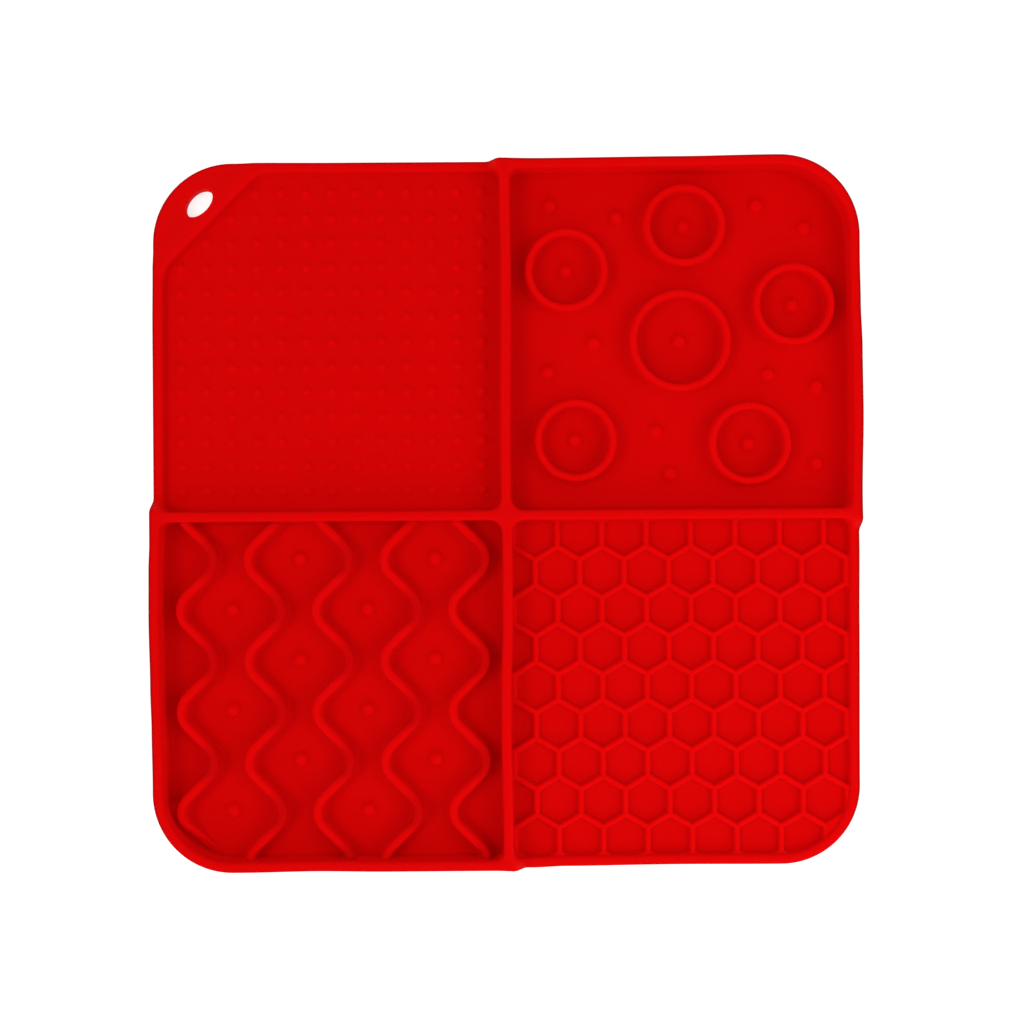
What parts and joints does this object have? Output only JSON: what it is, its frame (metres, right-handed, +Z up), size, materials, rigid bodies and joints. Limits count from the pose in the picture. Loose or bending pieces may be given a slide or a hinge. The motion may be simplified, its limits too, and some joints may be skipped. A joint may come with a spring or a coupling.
{
  "type": "lick mat",
  "caption": "Square flexible lick mat in four low-walled bays: small nubs, rings with studs, wavy ribs with studs, and a honeycomb, with a slotted hanging tab at one corner.",
  "frame": {"origin": "under the mat's middle, on the surface that it lies on", "axes": "+X to the right, +Y to the back, where the tab is at the left, +Z up out of the relief"},
  "size_m": [0.2006, 0.2004, 0.01],
  "materials": {
    "silicone": "matte"
  },
  "bodies": {
    "root": {"mat": "silicone"}
  },
  "joints": []
}
